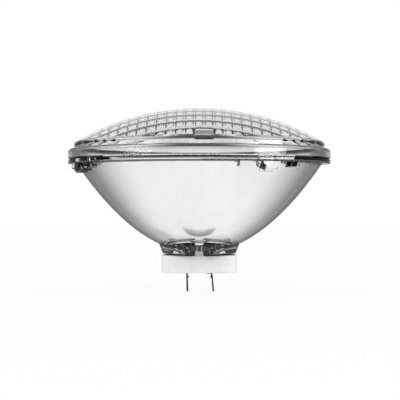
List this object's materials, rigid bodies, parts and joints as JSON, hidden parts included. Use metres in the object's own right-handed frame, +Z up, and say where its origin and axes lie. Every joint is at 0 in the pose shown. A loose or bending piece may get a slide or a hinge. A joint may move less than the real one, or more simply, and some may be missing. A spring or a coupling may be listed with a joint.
{
  "type": "par spotlight bulb",
  "caption": "Sealed-beam spotlight bulb with a fluted glass lens, a mirrored parabolic bowl and a white ceramic cap with flat contact blades.",
  "frame": {"origin": "middle of the ceramic cap's underside, where the lamp seats in its socket", "axes": "+Z up the lamp's axis towards the lens; the cap is long along X and its blades stand one each side of the YZ plane; the front is -Y"},
  "size_m": [0.178, 0.178, 0.1243],
  "materials": {
    "clear_glass": "clear pressed borosilicate glass",
    "mirror_coat": "vapour-coated aluminium behind glass",
    "white_ceramic": "matt white steatite",
    "dark_gasket": "black fibre",
    "brass": "dull aged brass",
    "nickel_iron": "bare nickel-iron",
    "tungsten": "drawn tungsten"
  },
  "bodies": {
    "root": {"lens": "clear_glass", "reflector": "clear_glass", "base_block": "white_ceramic", "seat_gasket": "dark_gasket", "blade_left": "brass", "blade_right": "brass", "ferrule_left": "nickel_iron", "ferrule_right": "nickel_iron", "strap_left": "nickel_iron", "strap_right": "nickel_iron", "exhaust_tip": "clear_glass", "lead_wire_left": "nickel_iron", "lead_wire_right": "nickel_iron", "filament": "tungsten", "filament_bridge": "clear_glass", "filament_supports": "tungsten"}
  },
  "joints": []
}
